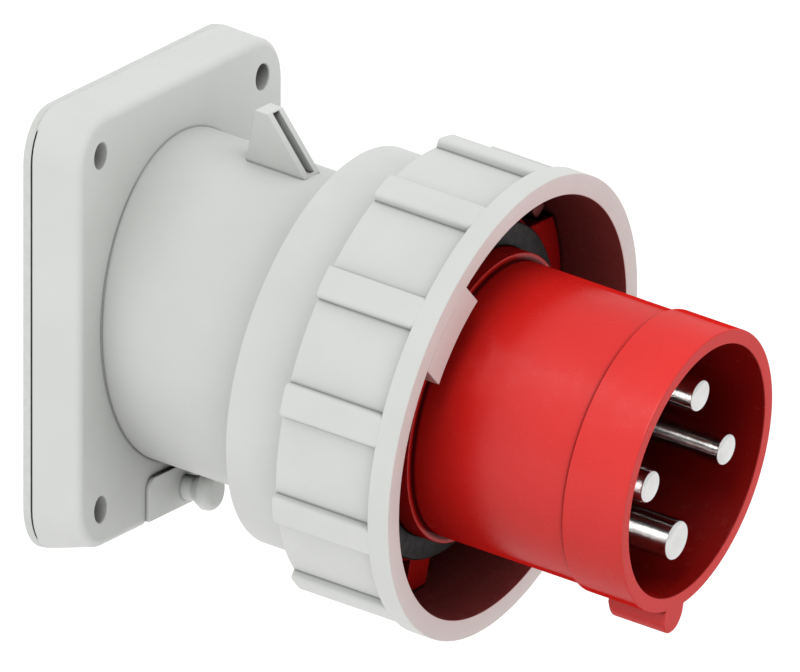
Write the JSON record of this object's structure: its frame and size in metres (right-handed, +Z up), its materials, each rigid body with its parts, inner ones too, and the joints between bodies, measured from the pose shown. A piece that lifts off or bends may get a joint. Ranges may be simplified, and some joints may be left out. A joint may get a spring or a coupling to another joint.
{
  "type": "pin and sleeve inlet",
  "caption": "Panel-mounted pin and sleeve power inlet: square flange, tilted tube, ribbed bayonet locking ring and a red keyed sleeve around round contact pins.",
  "frame": {"origin": "centre of the flange's bolt pattern, in the plane where the gasket meets the panel", "axes": "+X out of the panel, +Z up; the sleeve's axis leaves the flange 10 degrees below +X"},
  "size_m": [0.1568, 0.1136, 0.1246],
  "materials": {
    "grey_shell": "fine satin",
    "red_insert": "smooth",
    "panel_gasket": "matt",
    "dark_rubber": "matt",
    "dark_plastic": "matt",
    "pin_metal": "polished nickel plate",
    "screw_steel": "zinc plate"
  },
  "bodies": {
    "inlet": {"housing": "grey_shell", "flange_gasket": "panel_gasket", "cap_cord_plate": "grey_shell", "cap_cord_plate_screws": "screw_steel", "shroud_insert": "red_insert", "contact_block": "red_insert", "face_seal": "dark_rubber", "insert_o_ring": "dark_rubber", "insert_screws": "screw_steel", "line_pin_1": "pin_metal", "line_pin_2": "pin_metal", "line_pin_3": "pin_metal", "earth_pin": "pin_metal", "line_clamp_saddle_1": "screw_steel", "line_clamp_saddle_2": "screw_steel", "line_clamp_saddle_3": "screw_steel", "earth_clamp_saddle": "screw_steel", "line_clamp_screws": "screw_steel", "earth_clamp_screws": "screw_steel", "line_pin_o_rings": "dark_rubber", "earth_pin_o_ring": "dark_rubber", "pin_retainer": "dark_plastic", "retainer_screws": "screw_steel"},
    "ring": {"locking_ring": "grey_shell"}
  },
  "joints": [
    {"name": "ring_turn", "type": "hinge", "parent": "inlet", "child": "ring", "pos_m": [0.07344, 0, -0.01042], "axis": [0.9848, 0, -0.1736], "range_deg": [0, 60]}
  ]
}
